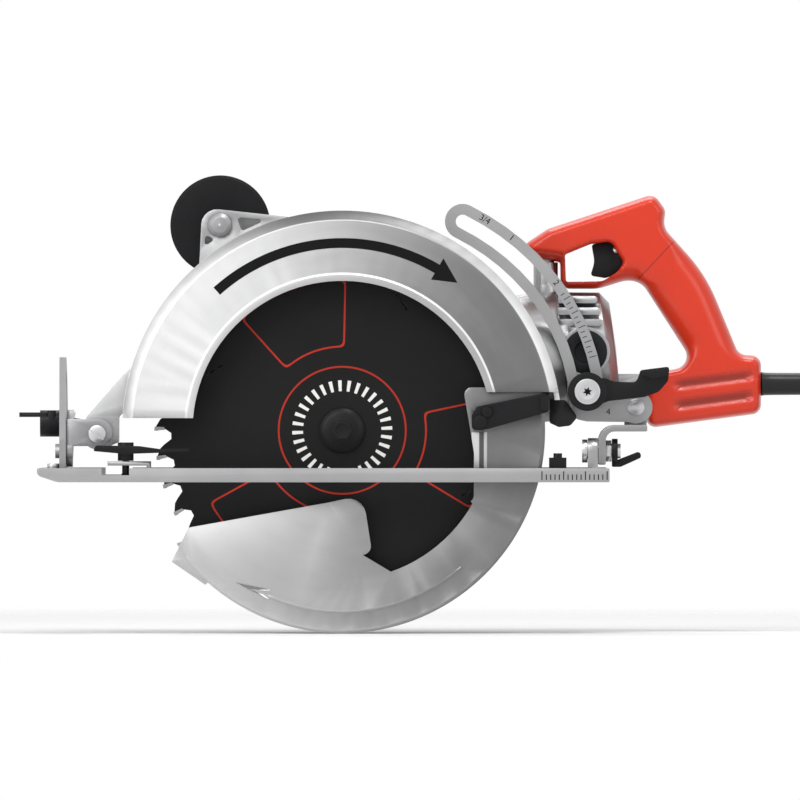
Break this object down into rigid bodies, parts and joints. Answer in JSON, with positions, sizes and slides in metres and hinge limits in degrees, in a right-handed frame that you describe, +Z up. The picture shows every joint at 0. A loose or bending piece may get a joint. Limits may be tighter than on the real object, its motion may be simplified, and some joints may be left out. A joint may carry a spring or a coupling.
{
  "type": "worm drive circular saw",
  "caption": "Worm drive circular saw with a retracting lower guard, slotted depth link, bevelling foot, red rear handle and side front grip.",
  "frame": {"origin": "on the sole, under the arbor, in the motor's upright plane", "axes": "+X to the rear of the saw, +Y to the motor side, +Z up"},
  "size_m": [0.7763, 0.2121, 0.3173],
  "materials": {
    "cast_alloy": "satin",
    "steel": "satin",
    "black_steel": "satin",
    "black_plastic": "matte",
    "red_plastic": "gloss",
    "rubber": "matte",
    "tie": "matte",
    "bronze": "satin",
    "copper": "satin"
  },
  "bodies": {
    "foot": {"foot_plate": "cast_alloy", "bevel_quadrant": "cast_alloy", "foot_screws": "steel", "fence_clamp": "steel", "bevel_stop": "black_steel"},
    "fence_lever": {"fence_lever": "black_plastic"},
    "tilt": {"front_carriage": "cast_alloy", "bevel_bolt": "steel", "depth_pivot_screw": "steel", "rear_bracket": "steel", "rear_hinge_bolt": "steel", "link_pin": "steel"},
    "bevel_lever": {"bevel_lever": "black_plastic"},
    "rear_lever": {"rear_bevel_lever": "black_plastic"},
    "depth_link": {"depth_link": "cast_alloy"},
    "saw": {"upper_guard": "cast_alloy", "gear_housing": "cast_alloy", "gear_cover": "cast_alloy", "motor_housing": "cast_alloy", "end_bell": "cast_alloy", "field_core": "steel", "field_coils": "copper", "brush_sets": "bronze", "brush_caps": "black_plastic", "motor_bearings": "steel", "arbor_bearings": "steel", "oil_plug": "steel", "handle_left": "red_plastic", "handle_right": "red_plastic", "case_screws": "steel", "switch_block": "black_plastic", "front_grip": "black_plastic", "front_grip_bolt": "steel", "guard_bumper": "rubber", "depth_bolt": "steel", "strain_relief": "rubber", "cord_lead": "rubber", "cord_coil": "rubber", "cord_tie": "tie", "plug": "rubber", "guard_spring": "steel"},
    "depth_lever": {"depth_lever": "black_plastic", "depth_lever_screw": "steel"},
    "lower_guard": {"lower_guard": "cast_alloy", "guard_lever": "black_plastic", "guard_rivets": "steel"},
    "blade": {"blade": "black_steel", "outer_flange": "black_steel", "inner_flange": "steel", "arbor_bolt": "black_steel", "spindle": "steel", "worm_wheel": "bronze"},
    "rotor": {"worm_shaft": "steel", "rotor_core": "steel", "commutator": "copper", "fan": "black_plastic"},
    "trigger": {"trigger": "black_plastic"},
    "spindle_lock": {"spindle_lock": "black_plastic"}
  },
  "joints": [
    {"name": "bevel", "type": "hinge", "parent": "foot", "child": "tilt", "pos_m": [0, -0.082, 0.0215], "axis": [1, 0, 0], "range_deg": [0, 51]},
    {"name": "depth", "type": "hinge", "parent": "tilt", "child": "saw", "pos_m": [-0.1694, -0.072, 0.0334], "axis": [0, -1, 0], "range_deg": [0, 26]},
    {"name": "link_turn", "type": "hinge", "parent": "tilt", "child": "depth_link", "pos_m": [0.2037, -0.0472, 0.0519], "axis": [0, -1, 0], "range_deg": [-15.7, 0]},
    {"name": "depth_lever_turn", "type": "hinge", "parent": "saw", "child": "depth_lever", "pos_m": [0.1696, -0.076, 0.0626], "axis": [0, -1, 0], "range_deg": [0, 50]},
    {"name": "bevel_lever_turn", "type": "hinge", "parent": "tilt", "child": "bevel_lever", "pos_m": [-0.2, -0.03145, 0.0405], "axis": [1, 0, 0], "range_deg": [0, 60]},
    {"name": "rear_lever_turn", "type": "hinge", "parent": "tilt", "child": "rear_lever", "pos_m": [0.188, -0.082, 0.0215], "axis": [1, 0, 0], "range_deg": [0, 45]},
    {"name": "fence_lever_turn", "type": "hinge", "parent": "foot", "child": "fence_lever", "pos_m": [-0.1495, -0.1, 0.02], "axis": [0, 0, 1], "range_deg": [0, 15]},
    {"name": "guard_swing", "type": "hinge", "parent": "saw", "child": "lower_guard", "pos_m": [0, -0.06, 0.0358], "axis": [0, -1, 0], "range_deg": [0, 130], "stiffness_Nm_per_rad": 0.35, "springref_deg": -51.57},
    {"name": "motor_spin", "type": "hinge", "parent": "saw", "child": "rotor", "pos_m": [-0.00407, 0, 0.06895], "axis": [0.9925, 0, 0.1219], "continuous": true},
    {"name": "blade_spin", "type": "hinge", "parent": "saw", "child": "blade", "pos_m": [0, -0.05, 0.0358], "axis": [0, -1, 0], "continuous": true},
    {"name": "trigger_pull", "type": "hinge", "parent": "saw", "child": "trigger", "pos_m": [0.19, 0, 0.161], "axis": [0, -1, 0], "range_deg": [0, 8], "stiffness_Nm_per_rad": 0.3, "springref_deg": -5.73},
    {"name": "spindle_lock_press", "type": "slide", "parent": "saw", "child": "spindle_lock", "axis": [0.9925, 0, 0.1219], "range_m": [0, 0.003], "stiffness_N_per_m": 400, "springref_m": -0.002}
  ],
  "couplings": [
    {"joint": "link_turn", "follows": "depth", "ratio": -0.6},
    {"joint": "blade_spin", "follows": "motor_spin", "ratio": 0.21429}
  ]
}
